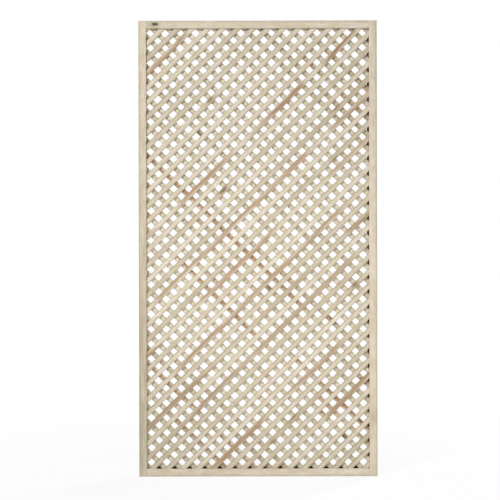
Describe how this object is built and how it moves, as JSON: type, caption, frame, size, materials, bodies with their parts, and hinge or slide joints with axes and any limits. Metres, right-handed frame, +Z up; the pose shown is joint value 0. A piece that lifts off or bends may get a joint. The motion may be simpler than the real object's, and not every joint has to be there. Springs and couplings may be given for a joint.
{
  "type": "garden trellis panel",
  "caption": "Tall framed panel of diagonal softwood lattice that carries climbing plants: grooved battens hold two crossed layers of thin slats, stapled together.",
  "frame": {"origin": "middle of the bottom edge, on the lattice's middle plane", "axes": "+X to the right seen from the front, -Y out of the front, +Z up"},
  "size_m": [0.915, 0.028, 1.75],
  "materials": {
    "frame_timber": "planed pale softwood",
    "front_slat_timber": "sawn pale softwood",
    "back_slat_timber": "sawn pale softwood",
    "staple_wire": "galvanised",
    "screw_plate": "yellow zinc plate"
  },
  "bodies": {
    "root": {"left_stile": "frame_timber", "right_stile": "frame_timber", "top_rail": "frame_timber", "bottom_rail": "frame_timber", "front_slat_01": "front_slat_timber", "front_slat_02": "front_slat_timber", "front_slat_03": "front_slat_timber", "front_slat_04": "front_slat_timber", "front_slat_05": "front_slat_timber", "front_slat_06": "front_slat_timber", "front_slat_07": "front_slat_timber", "front_slat_08": "front_slat_timber", "front_slat_09": "front_slat_timber", "front_slat_10": "front_slat_timber", "front_slat_11": "front_slat_timber", "front_slat_12": "front_slat_timber", "front_slat_13": "front_slat_timber", "front_slat_14": "front_slat_timber", "front_slat_15": "front_slat_timber", "front_slat_16": "front_slat_timber", "front_slat_17": "front_slat_timber", "front_slat_18": "front_slat_timber", "front_slat_19": "front_slat_timber", "front_slat_20": "front_slat_timber", "front_slat_21": "front_slat_timber", "front_slat_22": "front_slat_timber", "front_slat_23": "front_slat_timber", "front_slat_24": "front_slat_timber", "front_slat_25": "front_slat_timber", "front_slats_top_left": "front_slat_timber", "front_slats_bottom_right": "front_slat_timber", "back_slat_01": "back_slat_timber", "back_slat_02": "back_slat_timber", "back_slat_03": "back_slat_timber", "back_slat_04": "back_slat_timber", "back_slat_05": "back_slat_timber", "back_slat_06": "back_slat_timber", "back_slat_07": "back_slat_timber", "back_slat_08": "back_slat_timber", "back_slat_09": "back_slat_timber", "back_slat_10": "back_slat_timber", "back_slat_11": "back_slat_timber", "back_slat_12": "back_slat_timber", "back_slat_13": "back_slat_timber", "back_slat_14": "back_slat_timber", "back_slat_15": "back_slat_timber", "back_slat_16": "back_slat_timber", "back_slat_17": "back_slat_timber", "back_slat_18": "back_slat_timber", "back_slat_19": "back_slat_timber", "back_slat_20": "back_slat_timber", "back_slat_21": "back_slat_timber", "back_slat_22": "back_slat_timber", "back_slat_23": "back_slat_timber", "back_slat_24": "back_slat_timber", "back_slat_25": "back_slat_timber", "back_slats_bottom_left": "back_slat_timber", "back_slats_top_right": "back_slat_timber", "slat_staples": "staple_wire", "frame_screws": "screw_plate"}
  },
  "joints": []
}
